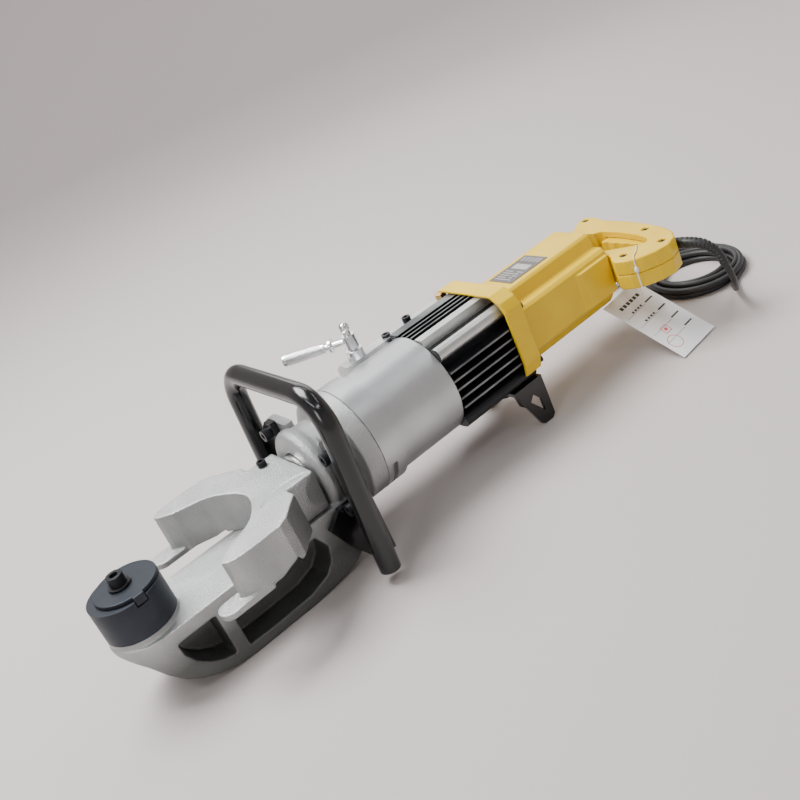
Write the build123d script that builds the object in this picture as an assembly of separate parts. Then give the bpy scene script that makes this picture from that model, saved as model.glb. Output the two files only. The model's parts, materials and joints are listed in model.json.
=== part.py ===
"""Portable hydraulic rebar bender: a ram pushes a forked bending shoe past a roller on a fixed arm.

The pieces are laid out about the ram's axis: +X runs forward to the roller, +Z is up and the ram's
axis is Y = 0, Z = 0. place() then moves everything so that the origin is under the middle of the
machine, on the ground. Millimetres throughout.
"""
import os
from math import pi, radians, tan

from build123d import *

# Driving dimensions
GROUND_Z = -98.0
BARREL_R = 55.0
BARREL_LENGTH = 80.0
RING_R = 58.5
RING_LENGTH = 24.0
BORE_R = 36.0
RAM_R = 24.0
RAM_BORE_R = 15.5
SPIGOT_R = 16.5
FIT_GAP = 0.05

FORK_TOP = 19.0
FORK_BOTTOM = -24.5
FORK_REAR_X = 167.0
FORK_HUB_R = 44.0
FOOT_BOTTOM = -27.0
FOOT_TOP = -20.5

ARM_TOP = -25.0
ARM_HALF = 42.0
WEB_HALF = 12.0
SEAT_TOP = -19.6
ROLLER_X = 360.0
ROLLER_R = 35.0
ROLLER_TOP = 16.4
POST_R = 12.0

ROD_R = 10.5
ROD_HALF = 90.0
ROD_TOP = 98.0

BODY_REAR_X = -100.0
COLLAR_FRONT_X = -82.0
COLLAR_REAR_X = -104.0
FIN_TIP = 54.0
HOUSING_REAR_X = -240.0
RIDGE_TOP = 43.5
RIDGE_HALF = 27.0
SIDE_HALF = 45.0
SHELF_TOP = 27.0
WALL = 3.5

HANDLE_HALF = 17.0
SHAFT_R = 6.0
CORD_R = 3.5

NODES = {}


def keep(name, *shapes):
    """Store one node: a single solid, or a group of separate solids."""
    NODES[name] = shapes[0] if len(shapes) == 1 else Compound(children=list(shapes))


def block(x0, x1, y0, y1, z0, z1):
    """A box between two corners."""
    return Pos((x0 + x1) / 2, (y0 + y1) / 2, (z0 + z1) / 2) * Box(x1 - x0, y1 - y0, z1 - z0)


def bar_x(radius, x0, x1, y=0.0, z=0.0):
    """A round bar along X."""
    return Pos((x0 + x1) / 2, y, z) * Rot(0, 90, 0) * Cylinder(radius, x1 - x0)


def bar_z(radius, z0, z1, x, y):
    """A round bar along Z."""
    return Pos(x, y, (z0 + z1) / 2) * Cylinder(radius, z1 - z0)


def ring_x(outer, inner, x0, x1):
    """A tube along X on the ram's axis."""
    return bar_x(outer, x0, x1) - bar_x(inner, x0 - 1, x1 + 1)


def plan(points, z0, z1):
    """A prism with its outline in the XY plane."""
    return extrude(Plane.XY.offset(z0) * make_face(Polyline(*points, close=True)), z1 - z0)


def side(points, y0, y1):
    """A prism with its outline in the XZ plane."""
    return extrude(Plane.XZ.offset(-y1) * make_face(Polyline(*points, close=True)), y1 - y0)


def section(points, x0, x1):
    """A prism with its outline in the YZ plane."""
    return extrude(Plane.YZ.offset(x0) * make_face(Polyline(*points, close=True)), x1 - x0)


def both_sides(points):
    """Close a half outline by mirroring it in its first axis's other side (second value negated)."""
    return list(points) + [(x, -y) for x, y in reversed(points)]


def mirror_y(shape):
    """The same piece on the other side of the machine."""
    return mirror(shape, about=Plane.XZ)


def cap_screw(radius, head, length):
    """A socket cap screw that points down, with its head's underside at the origin."""
    body = Pos(0, 0, head / 2) * Cylinder(radius * 1.6, head)
    body += Pos(0, 0, -length / 2) * Cylinder(radius, length)
    socket = extrude(RegularPolygon(radius * 0.9, 6), head * 0.6)
    return body - Pos(0, 0, head * 0.45) * socket


# --- Hydraulic cylinder ---------------------------------------------------------------------------

RING_X = BARREL_LENGTH
FLANGE_X = RING_X + RING_LENGTH
FLANGE_END = FLANGE_X + 24.0
NOSE_R = 50.0


def cylinder_barrel():
    barrel = bar_x(BARREL_R, 0, RING_X) + bar_x(NOSE_R, RING_X, FLANGE_X)
    barrel -= bar_x(BORE_R, 8, FLANGE_X + 1)
    return barrel - bar_x(8, -1, 9)


def lock_ring():
    ring = ring_x(RING_R, NOSE_R, RING_X, FLANGE_X)
    slot = block(RING_X + 12, RING_X + 18, -16, 16, RING_R - 5, RING_R + 5)
    for turn in (-125, 55):
        ring -= Rot(turn, 0, 0) * slot
    return ring


def ram():
    body = bar_x(RAM_R, 32, FORK_REAR_X) + bar_x(20, 14, 32) + bar_x(SPIGOT_R, 160, FORK_REAR_X + 11)
    body -= bar_x(RAM_BORE_R, 26, FORK_REAR_X - 2)
    return body - bar_x(8.3, 13, 27)


def piston():
    ring = ring_x(BORE_R - FIT_GAP, 20, 12, 32)
    return ring - ring_x(BORE_R + 1, 33, 19, 25)


def spring_guide():
    return bar_x(8, 0, 152) + bar_x(14.5, 152, 158)


def return_spring():
    """Thirteen turns of 4 mm wire round the guide rod, inside the hollow ram."""
    turns, start, end = 13, 28.5, 149.5
    helix = Helix(pitch=(end - start) / turns, height=end - start, radius=11.8)
    wire = sweep(Plane(origin=helix @ 0, z_dir=helix % 0) * Circle(1.9), path=helix)
    return Pos(start, 0, 0) * Rot(0, 90, 0) * wire


# --- Head casting: flange, neck and the fixed arm ---------------------------------------------------

def neck():
    """The flange and the waisted neck with its flared mouth, as one solid of revolution."""
    outline = [(FLANGE_X, 0), (FLANGE_X, RING_R), (FLANGE_END - 5, RING_R), (FLANGE_END, 50),
               (134, 43), (146, 43), (152, 46), (157, 46.5), (161, 44.5), (163.5, 41), (164, 38), (164, 0)]
    profile = Plane.XZ * make_face(Polyline(*outline, close=True))
    return revolve(profile, Axis.X, 360)


def arm():
    belly = [(130, -30), (FORK_REAR_X, ARM_TOP), (402, ARM_TOP), (392, -34), (381, -46), (372, -60),
             (361, -73), (348, -83), (334, -90), (318, -95), (296, GROUND_Z), (226, GROUND_Z),
             (204, -96), (187, -93), (168, -88), (150, -78), (132, -60)]
    solid = side(belly, -ARM_HALF, ARM_HALF)
    front = bar_z(ARM_HALF, -110, 0, 354, 0) + block(100, 354, -ARM_HALF, ARM_HALF, -110, 0)
    solid = solid & front
    rear_pocket = [(196, -39), (297, -39), (297, -86), (262, -87), (225, -86), (202, -80),
                   (192, -70), (188, -55)]
    front_pocket = [(311, -39), (352, -39), (351, -52), (345, -64), (335, -74), (323, -81), (311, -84)]
    for outline in (rear_pocket, front_pocket):
        pocket = side(outline, WEB_HALF, ARM_HALF + 5)
        solid -= pocket + mirror_y(pocket)
    return solid


def head_casting():
    ear = block(136, 146, 30, 68, -46, 40)
    seat = bar_z(ROLLER_R - 0.6, ARM_TOP - 2, SEAT_TOP, ROLLER_X, 0)
    body = neck() + ear + mirror_y(ear) + arm() + seat
    body -= bar_x(BORE_R, FLANGE_X - 1, FLANGE_END)
    body -= bar_x(RAM_R + 1, FLANGE_END - 1, FORK_REAR_X + 5)
    for y in (30, -28):
        body -= bar_x(4, 130, 150, 58, y) + bar_x(4, 130, 150, -58, y)
    return body - bar_z(5, -60, SEAT_TOP + 1, ROLLER_X, 0)


# --- Bending fork ---------------------------------------------------------------------------------

def fork_plan():
    """Half of the fork's outline from the hub, round the near prong, into the mouth."""
    return [(FORK_REAR_X, 40), (182, 43), (197, 53), (211, 67), (222, 79), (233, 85), (268, 85.5),
            (280, 84), (288, 80), (291, 75), (288, 70), (277, 60), (263, 54), (248, 47),
            (240, 40), (233, 30), (226, 17), (223, 6)]


def fork_foot():
    """The ledge under a prong's tip, rounded at its front end."""
    ledge = block(262, 303, 63, 87, FOOT_BOTTOM, FOOT_TOP) + bar_z(12, FOOT_BOTTOM, FOOT_TOP, 303, 75)
    return ledge


def bending_fork():
    top = plan(both_sides(fork_plan()), FORK_BOTTOM, FORK_TOP)
    keep_hub = bar_x(FORK_HUB_R, FORK_REAR_X - 1, 215) + block(198, 300, -90, 90, -60, 60)
    body = top & keep_hub
    body += fork_foot() + mirror_y(fork_foot())
    under = [(200, -30), (225, -30), (231, -18), (244, -22), (262, -28), (262, -40), (200, -40)]
    relief = side(under, 43, 95)
    body -= relief + mirror_y(relief)
    arc = bar_z(44, FORK_TOP - 1.6, FORK_TOP + 1, 196, 69) - bar_z(41.5, FORK_TOP - 2, FORK_TOP + 2, 196, 69)
    arc = arc & block(FORK_REAR_X + 6, 226, 20, 56, 0, 40)
    body -= arc
    body -= bar_x(SPIGOT_R, FORK_REAR_X - 1, FORK_REAR_X + 11)
    return body - bar_z(3, 0, FORK_TOP + 1, 185, -28)


# --- Roller on its post ---------------------------------------------------------------------------

def bending_roller():
    body = bar_z(ROLLER_R, SEAT_TOP + 0.4, ROLLER_TOP, ROLLER_X, 0)
    body -= bar_z(POST_R + FIT_GAP, -30, 30, ROLLER_X, 0)
    return body - block(ROLLER_X - 10, ROLLER_X + 2, 27, 40, ROLLER_TOP - 6, ROLLER_TOP + 1)


def lock_disc():
    disc = bar_z(31, ROLLER_TOP, ROLLER_TOP + 4, ROLLER_X - 4, 0)
    disc += block(ROLLER_X - 9.5, ROLLER_X + 1.5, 25, 34.2, ROLLER_TOP - 5.5, ROLLER_TOP + 4)
    disc -= block(ROLLER_X - 9.5, ROLLER_X + 1.5, 20, 27.3, ROLLER_TOP - 8, ROLLER_TOP)
    return disc - bar_z(8.5, 0, 30, ROLLER_X, 0)


def roller_post():
    post = bar_z(POST_R, SEAT_TOP, ROLLER_TOP - 0.4, ROLLER_X, 0)
    post += bar_z(8, ROLLER_TOP - 0.4, ROLLER_TOP + 4.5, ROLLER_X, 0)
    return post - bar_z(5, -30, 30, ROLLER_X, 0)


def roller_bolt():
    return Pos(ROLLER_X, 0, ROLLER_TOP + 6.5) * cap_screw(5, 10, 74)


def roller_washer():
    z = ROLLER_TOP + 4.5
    return bar_z(11, z, z + 2, ROLLER_X, 0) - bar_z(5, z - 1, z + 3, ROLLER_X, 0)


# --- Carrying handle ------------------------------------------------------------------------------

ROD_END_Z = -85.0


def rod_path():
    points = [(161, ROD_HALF, ROD_END_Z), (152, ROD_HALF, ROD_TOP), (152, -ROD_HALF, ROD_TOP),
              (161, -ROD_HALF, ROD_END_Z)]
    return FilletPolyline(*points, radius=34)


def carry_handle():
    path = rod_path()
    return sweep(Plane(origin=path @ 0, z_dir=path % 0) * Circle(ROD_R), path=path)


def gusset_plate(rod):
    outline = [(47, 42), (60, 42), (82, 20), (90, 0), (90, -70), (82, -76), (70, -66), (47, -44)]
    rib = [(146, -26), (165, -26), (182, -40), (170, -67), (155, -90), (146, -90)]
    plate = section(outline, 146, 153) + side(rib, 43.5, 50)
    for z in (30, -28):
        plate -= bar_x(4, 140, 160, 58, z)
    return plate - rod


def gusset_bolts():
    screw = Rot(0, 90, 0) * cap_screw(4, 8, 17)
    return [Pos(153, y, z) * screw for y in (58, -58) for z in (30, -28)]


# --- Pump body with cooling fins --------------------------------------------------------------------

BLOCK_LOW = (-60.0, 34.0)
BLOCK_HIGH = (-37.0, 48.0)
CAVITY_R = 32.0


def pump_body():
    body = block(BODY_REAR_X, 0, -38, 38, -46, 43)
    for y in (-41, 41):
        for z in (-38, 39):
            body += bar_x(7.5, BODY_REAR_X, 0, y, z)
    for z in (20.5, 10.5, 0.5, -9.5, -19.5):
        for y0, y1 in ((37, FIN_TIP), (-FIN_TIP, -37)):
            body += block(BODY_REAR_X, 0, y0, y1, z - 1.1, z + 1.1)
    for y in (-16, -8, 0, 8):
        body += block(BODY_REAR_X, 0, y - 1.1, y + 1.1, 42, 55)
    for y in (-25, 19):
        body += block(BODY_REAR_X, 0, y - 5, y + 6, 42, 54)
    body -= block(BODY_REAR_X - 1, 1, BLOCK_LOW[0] - 5, BLOCK_HIGH[0], BLOCK_LOW[1], 70)
    body -= bar_x(CAVITY_R, BODY_REAR_X - 1, -8)
    for x in (-67, -94):
        body -= bar_z(3, -50, -36, x, 28) + bar_z(3, -50, -36, x, -28)
    return body


def end_cover():
    """The lid that closes the oil chamber and carries the motor's front bearing."""
    cover = ring_x(CAVITY_R, 16, BODY_REAR_X, BODY_REAR_X + 12)
    return cover


def manifold_block():
    outline = [(BLOCK_LOW[0], BLOCK_LOW[1]), (BLOCK_HIGH[0], BLOCK_LOW[1]), (BLOCK_HIGH[0], BLOCK_HIGH[1]),
               (-52, BLOCK_HIGH[1]), (BLOCK_LOW[0], 42)]
    body = section(outline, -92, 56)
    body -= bar_x(BARREL_R, 0, 60)
    for x in (-34, -4):
        body -= bar_z(3, 36, 60, x, -45)
    return body - bar_z(6, 43, 60, 36, -45) - bar_z(4, 43, 60, -84, -45)


def manifold_screws():
    big = Pos(-34, -45, BLOCK_HIGH[1]) * cap_screw(3, 6, 10)
    small = Pos(-4, -45, BLOCK_HIGH[1]) * cap_screw(3, 3, 10)
    return [big, small]


def brass_plug():
    hexagon = extrude(RegularPolygon(7, 6), 6)
    return Pos(-84, -45, BLOCK_HIGH[1]) * (hexagon + Pos(0, 0, -2.5) * Cylinder(4, 5))


# --- Release valve --------------------------------------------------------------------------------

VALVE_X, VALVE_Y = 36.0, -45.0
LEVER_Z = 68.0
LEVER_TURN = -44.0


def valve_gland():
    body = bar_z(9, BLOCK_HIGH[1], 58, VALVE_X, VALVE_Y) + bar_z(6, 43, BLOCK_HIGH[1], VALVE_X, VALVE_Y)
    return body - bar_z(4.05, 40, 60, VALVE_X, VALVE_Y)


def on_lever(shape):
    """Carry a shape from the lever's own frame (X along the arm, origin on the stem)."""
    return Pos(VALVE_X, VALVE_Y, LEVER_Z) * Rot(0, 0, LEVER_TURN) * shape


def valve_spindle():
    stem = Pos(0, 0, -12) * Cylinder(4, 24)
    hub = Pos(0, 0, -1) * Cylinder(7, 15)
    neck_piece = Pos(0, 0, 9) * Cylinder(4, 8)
    knob = Pos(0, 0, 15) * Sphere(5.5)
    hole = Pos(4, 0, 0) * Rot(0, 90, 0) * Cylinder(3.5, 10)
    return on_lever(stem + hub + neck_piece + knob - hole)


def lever_arm():
    bar = Pos(16, 0, 0) * Rot(0, 90, 0) * Cylinder(3.5, 34)
    return on_lever(bar + Pos(21, 0, 0) * Rot(0, 90, 0) * Cylinder(7.5, 3))


def lever_grip():
    grip = Pos(51, 0, 0) * Rot(0, 90, 0) * Cone(5.5, 7, 48)
    return on_lever(grip - Pos(16, 0, 0) * Rot(0, 90, 0) * Cylinder(3.5, 34))


# --- Collar and motor housing -------------------------------------------------------------------------

def motor_collar():
    half = [(0, 58), (42, 58), (54, 50), (59, 40), (59, -22), (54, -36), (36, -36)]
    outer = [(y, z) for y, z in half] + [(-y, z) for y, z in reversed(half[1:])]
    body = section(outer, COLLAR_REAR_X, COLLAR_FRONT_X)
    inner = [(40, 55), (50, 47), (FIN_TIP + 0.5, 38), (FIN_TIP + 0.5, -22), (50, -40), (-50, -40),
             (-FIN_TIP - 0.5, -22), (-FIN_TIP - 0.5, 34), (BLOCK_LOW[0] + 5, 34), (BLOCK_LOW[0] + 5, 55)]
    body -= section(inner, BODY_REAR_X, COLLAR_FRONT_X + 1)
    body -= block(BODY_REAR_X, COLLAR_FRONT_X + 1, BLOCK_LOW[0] - 5, BLOCK_HIGH[0], BLOCK_LOW[1] - 1, 55)
    body -= bar_x(16, COLLAR_REAR_X - 1, BODY_REAR_X + 1)
    for y, z in COLLAR_BOLTS:
        body -= bar_x(2.5, COLLAR_REAR_X - 1, BODY_REAR_X + 1, y, z)
    return body


COLLAR_BOLTS = ((50, 34), (-50, 30), (50, -30), (-50, -30))


def collar_bolts():
    screw = Rot(0, -90, 0) * cap_screw(2.5, 5, 4)
    return [Pos(COLLAR_REAR_X, y, z) * screw for y, z in COLLAR_BOLTS]


def cross_outline(inset):
    """The motor housing's section: a tall ridge crossed by a wide middle, drawn inset by a wall."""
    ridge, top = RIDGE_HALF - inset, RIDGE_TOP - inset
    wide, shelf = SIDE_HALF - inset, SHELF_TOP - inset
    quarter = [(0, top), (ridge - 3, top), (ridge, top - 3), (ridge + 3, shelf), (wide - 4, shelf),
               (wide, shelf - 4)]
    upper = quarter[1:] + [(y, -z) for y, z in reversed(quarter[1:])]
    return upper + [(-y, z) for y, z in reversed(upper)]


def motor_housing():
    rear, front = HOUSING_REAR_X, COLLAR_REAR_X
    body = section(cross_outline(0), rear, front)
    for sign in (1, -1):
        bulge = [(-188, 44), (-196, 49.5), (-236, 49.5), (-240, 46), (-240, 40), (-188, 40)]
        body += plan([(x, sign * y) for x, y in bulge], -22, 20)
    body -= section(cross_outline(WALL), rear - 1, -224)
    body -= section(cross_outline(WALL), -218, front + 1)
    body -= bar_x(14, -225, -217)
    for x in range(-182, -118, 8):
        body -= block(x, x + 3, -14, 14, -RIDGE_TOP - 1, -RIDGE_TOP + 5)
    return body


# --- Rear handle: two shells, trigger and switch ------------------------------------------------------

def handle_outline():
    return [(-240, 50), (-233, 57), (-228, 66), (-232, 80), (-242, 92), (-256, 101), (-272, 105),
            (-288, 100), (-299, 88), (-306, 72), (-312, 45), (-316, 15), (-317, -30), (-322, -46),
            (-322, -62), (-308, -64), (-292, -54), (-262, -48), (-240, -44)]


def finger_outline():
    return [(-251, 12), (-262, -3), (-276, -14), (-286, -16), (-291, -9), (-291, 20), (-287, 50),
            (-282, 66), (-275, 72), (-267, 66), (-258, 48), (-250, 30)]


def handle_shell(sign):
    """One half of the handle, hollow, from the split plane outwards."""
    outer = make_face(Polyline(*handle_outline(), close=True))
    opening = make_face(Polyline(*finger_outline(), close=True))
    body = extrude(outer - opening, sign * HANDLE_HALF)
    saddle = side([(-240, 0), (-240, sign * (RIDGE_TOP - 1)), (-246, sign * (RIDGE_TOP - 4)),
                   (-262, sign * HANDLE_HALF), (-262, 0)], -RIDGE_HALF, RIDGE_HALF)
    body += saddle - extrude(opening, sign * 60)
    room = offset(outer, -3, kind=Kind.INTERSECTION) - offset(opening, 3, kind=Kind.INTERSECTION)
    body -= extrude(room, sign * (HANDLE_HALF - 3))
    slot = block(-296, -278, -6, 60, -9, 9)
    body -= slot
    body -= cord_guard()
    for x, y in HANDLE_SCREWS:
        body -= bar_z(2, -30, 30, x, y)
        body -= bar_z(4, HANDLE_HALF - 4, 30, x, y)
    return body


HANDLE_SCREWS = ((-301, 48), (-279, 90), (-244, 66), (-314, -56))


def handle_screws():
    screws = []
    for x, y in HANDLE_SCREWS:
        screws.append(Pos(x, y, HANDLE_HALF - 4) * cap_screw(2, 2.5, 26))
    return screws


def trigger():
    body = block(-293, -281, -4, 58, -8.5, 8.5)
    for y in (5, 20, 35, 50):
        body -= bar_z(9, -10, 10, -273.6, y)
    return body


def switch_body():
    return block(-307.5, -298.5, -8, 34, -10, 10)


# --- Motor ----------------------------------------------------------------------------------------------

def shaft():
    return bar_x(SHAFT_R, -232, -24)


def bearing(outer, x0, x1):
    return ring_x(outer, SHAFT_R + 0.08, x0, x1)


def stator():
    return ring_x(33, 22.5, -200, -146)


def armature_core():
    core = ring_x(21.5, SHAFT_R, -198, -148)
    for turn in range(0, 360, 30):
        core -= Rot(turn, 0, 0) * block(-199, -147, -1.2, 1.2, 15, 25)
    return core


def commutator():
    return ring_x(12, SHAFT_R, -214, -202)


def cooling_fan():
    fan = ring_x(11, SHAFT_R, -140, -126) + ring_x(30, 10, -140, -138)
    for turn in range(0, 360, 40):
        fan += Rot(turn, 0, 0) * block(-139, -126, -1, 1, 10, 29.5)
    return fan


def carbon_brushes():
    brush = block(-212, -204, 12.4, 24, -4, 4)
    return [brush, mirror_y(brush)]


def brush_holders():
    holder = block(-215, -201, 14, 30, -7, 7) - block(-213, -203, 13, 31, -5, 5)
    return [holder, mirror_y(holder)]


# --- Pump inside the finned body ------------------------------------------------------------------------

CAM_X0, CAM_X1 = -58.0, -46.0


def cam():
    disc = bar_x(14, CAM_X0, CAM_X1, 0, 3)
    return disc - bar_x(SHAFT_R, CAM_X0 - 1, CAM_X1 + 1)


def cam_bearing():
    return bar_x(17, CAM_X0, CAM_X1, 0, 3) - bar_x(14, CAM_X0 - 1, CAM_X1 + 1, 0, 3)


def pump_block():
    body = ring_x(CAVITY_R, 20.5, CAM_X0 - 6, CAM_X1 + 6)
    for turn in range(0, 360, 90):
        body -= Rot(turn, 0, 0) * bar_z(4, 15, 29, (CAM_X0 + CAM_X1) / 2, 0)
    return body


def pump_plungers():
    plunger = bar_z(4, 20.6, 28, (CAM_X0 + CAM_X1) / 2, 0)
    return [Rot(turn, 0, 0) * plunger for turn in range(0, 360, 90)]


# --- Rear foot, nameplate and tag -------------------------------------------------------------------------

FOOT_FRONT_X = -62.0


def rear_foot():
    top = block(-102, FOOT_FRONT_X, -50, 50, -50, -46)
    wall = [(FOOT_FRONT_X, -46), (-82, GROUND_Z + 3), (-86, GROUND_Z), (-98, GROUND_Z), (-102, GROUND_Z + 4),
            (-102, -46)]
    near = side(wall, 46, 50)
    window = [(-78, -66), (-92, -84), (-92, -70), (-84, -60)]
    near -= side(window, 40, 60)
    brace = [(-50, -46), (50, -46), (50, -70), (36, -70), (30, -56), (-30, -56), (-36, -70), (-50, -70)]
    sheet = section(brace, FOOT_FRONT_X - 14, FOOT_FRONT_X - 10)
    body = top + near + mirror_y(near) + sheet
    for x in (-67, -94):
        body -= bar_z(3, -60, -40, x, 28) + bar_z(3, -60, -40, x, -28)
    return body


def foot_bolts():
    screw = Rot(180, 0, 0) * cap_screw(3, 5, 14)
    return [Pos(x, y, -50) * screw for x in (-67, -94) for y in (28, -28)]


def nameplate():
    return block(-186, -130, -18, 18, RIDGE_TOP, RIDGE_TOP + 0.6)


TAG_TOP = Vector(-252, 30, -40)
TAG_LONG = Vector(-11, 88, -57)
TAG_SIZE = (62.0, 104.0)


def hang_tag():
    """A thin card that leans from under the handle down to the ground."""
    along = TAG_LONG.normalized()
    across = Vector(1, 0.12, 0)
    plane = Plane(origin=TAG_TOP, x_dir=across - along * across.dot(along), z_dir=across.cross(along))
    card = Pos(0, TAG_SIZE[1] / 2, 0) * Box(TAG_SIZE[0], TAG_SIZE[1], 0.5)
    return plane * (card - Pos(-20, 6, 0) * Cylinder(2.5, 3))


def tag_tie():
    """A flat band round the near side of the handle loop."""
    band = block(-267, -226.5, 60, 63, -HANDLE_HALF - 1.2, HANDLE_HALF + 1.2)
    return band - block(-265.9, -227.7, 50, 70, -HANDLE_HALF - 0.3, HANDLE_HALF + 0.3)


# --- Cord ---------------------------------------------------------------------------------------------------

def corner_radii(points):
    """The largest arc that each corner's two runs allow."""
    radii = []
    for before, here, after in zip(points, points[1:], points[2:]):
        one, two = Vector(here) - Vector(before), Vector(after) - Vector(here)
        half = radians(one.get_angle(two)) / 2
        radii.append(0.45 * min(one.length, two.length) / tan(half))
    return radii


def tube(points, radius):
    path = FilletPolyline(*points, radius=corner_radii(points))
    return path, sweep(Plane(origin=path @ 0, z_dir=path % 0) * Circle(radius), path=path)


GUARD_POINTS = [(-300, 78, 0), (-305, 98, 0), (-311, 113, -4), (-316, 123, -15), (-318, 128, -30)]
CORD_POINTS = [(-318, 128, -30), (-320, 131, -45), (-327, 126, -60), (-339, 114, -74), (-354, 99, -86),
               (-370, 84, -93), (-387, 70, -94.3), (-405, 60, -94.3)]
COIL_CENTRE = (-393.0, 8.0)
COIL_RADII = (66.0, 70.0)
COIL_WIDTH = 30.0
COIL_HEIGHT = 24.0
PLUG_Y = -77.0
PLUG_TAIL_X = -402.0
TAIL_Z = GROUND_Z + 5.5


def cord_guard():
    path, sleeve = tube(GUARD_POINTS, 6.4)
    return sleeve


def power_cord():
    path, cord = tube(CORD_POINTS, CORD_R)
    whole = pi * CORD_R ** 2 * path.length
    print("cord tube length", round(path.length, 1), "volume ratio", round(cord.volume / whole, 4))
    print("cord radii", [round(r, 1) for r in corner_radii(CORD_POINTS)])
    return cord


def cord_coil():
    """The outer shape of the loose coil that lies on the ground."""
    cx, cy = COIL_CENTRE
    outer = Pos(cx, cy) * Ellipse(*COIL_RADII)
    inner = Pos(cx, cy) * Ellipse(COIL_RADII[0] - COIL_WIDTH, COIL_RADII[1] - COIL_WIDTH)
    ring = extrude(Plane.XY.offset(GROUND_Z + 0.2) * (outer - inner), COIL_HEIGHT)
    start, end = Vector(-426, -50, -86), Vector(PLUG_TAIL_X, PLUG_Y, TAIL_Z)
    stub = extrude(Plane(origin=start, z_dir=end - start) * Circle(5), (end - start).length)
    beyond = block(PLUG_TAIL_X, PLUG_TAIL_X + 20, PLUG_Y - 20, PLUG_Y + 8, -110, -70)
    return ring + (stub - beyond)


def power_plug():
    """A two-pin plug lying beside the coil, with its cord tail towards it."""
    front = PLUG_TAIL_X + 51
    middle = GROUND_Z + 11
    body = block(PLUG_TAIL_X + 17, front, PLUG_Y - 13, PLUG_Y + 13, GROUND_Z + 0.3, GROUND_Z + 22)
    body += bar_x(5, PLUG_TAIL_X, PLUG_TAIL_X + 18, PLUG_Y, TAIL_Z)
    for side_step in (-7, 7):
        body += bar_x(2.4, front, front + 18, PLUG_Y + side_step, middle)
    return body


# --- Put the nodes together ----------------------------------------------------------------------------

def build():
    keep("cylinder_barrel", cylinder_barrel())
    keep("lock_ring", lock_ring())
    keep("head_casting", head_casting())
    keep("gland_bush", ring_x(BORE_R, RAM_R + FIT_GAP, FLANGE_X, FLANGE_END - 6))
    keep("wiper_seal", ring_x(BORE_R, RAM_R + 0.3, FLANGE_END - 6, FLANGE_END))
    keep("ram", ram())
    keep("piston", piston())
    keep("piston_seal", ring_x(BORE_R - FIT_GAP, 33, 19, 25))
    keep("spring_guide", spring_guide())
    keep("return_spring", return_spring())
    keep("bending_fork", bending_fork())
    keep("fork_screw", Pos(185, -28, FORK_TOP) * cap_screw(3, 6, 14))
    keep("bending_roller", bending_roller())
    keep("lock_disc", lock_disc())
    keep("roller_post", roller_post())
    keep("roller_washer", roller_washer())
    keep("roller_bolt", roller_bolt())
    rod = carry_handle()
    keep("carry_handle", rod)
    keep("gusset_near", gusset_plate(rod))
    keep("gusset_far", mirror_y(gusset_plate(rod)))
    keep("gusset_bolts", *gusset_bolts())
    keep("pump_body", pump_body())
    keep("end_cover", end_cover())
    keep("pump_block", pump_block())
    keep("pump_plungers", *pump_plungers())
    keep("cam", cam())
    keep("cam_bearing", cam_bearing())
    keep("manifold_block", manifold_block())
    keep("manifold_screws", *manifold_screws())
    keep("brass_plug", brass_plug())
    keep("valve_gland", valve_gland())
    keep("valve_spindle", valve_spindle())
    keep("lever_arm", lever_arm())
    keep("lever_grip", lever_grip())
    keep("motor_collar", motor_collar())
    keep("collar_bolts", *collar_bolts())
    keep("motor_housing", motor_housing())
    keep("motor_shaft", shaft())
    keep("front_bearing", bearing(16, COLLAR_REAR_X, BODY_REAR_X + 12))
    keep("rear_bearing", bearing(14, -224, -218))
    keep("stator", stator())
    keep("armature_core", armature_core())
    keep("commutator", commutator())
    keep("cooling_fan", cooling_fan())
    keep("carbon_brushes", *carbon_brushes())
    keep("brush_holders", *brush_holders())
    keep("handle_shell_top", handle_shell(1))
    keep("handle_shell_bottom", handle_shell(-1))
    keep("handle_screws", *handle_screws())
    keep("trigger", trigger())
    keep("switch_body", switch_body())
    keep("nameplate", nameplate())
    keep("rear_foot", rear_foot())
    keep("foot_bolts", *foot_bolts())
    keep("hang_tag", hang_tag())
    keep("tag_tie", tag_tie())
    keep("cord_guard", cord_guard())
    keep("power_cord", power_cord())
    keep("cord_coil", cord_coil())
    keep("power_plug", power_plug())


def main():
    build()
    cord_nodes = ("power_cord", "cord_coil", "power_plug", "cord_guard")
    solids = [shape.bounding_box() for name, shape in NODES.items() if name not in cord_nodes]
    low_x, high_x = min(b.min.X for b in solids), max(b.max.X for b in solids)
    low_y, high_y = min(b.min.Y for b in solids), max(b.max.Y for b in solids)
    shift = Pos(-(low_x + high_x) / 2, -(low_y + high_y) / 2, -GROUND_Z)
    print("shift", shift.position, "low z", min(b.min.Z for b in solids))
    os.makedirs("parts", exist_ok=True)
    for name, shape in NODES.items():
        export_step(shift * shape, f"parts/{name}.step")


main()
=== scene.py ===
import json
import math

import bmesh
import bpy
from mathutils import Matrix, Vector


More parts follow.
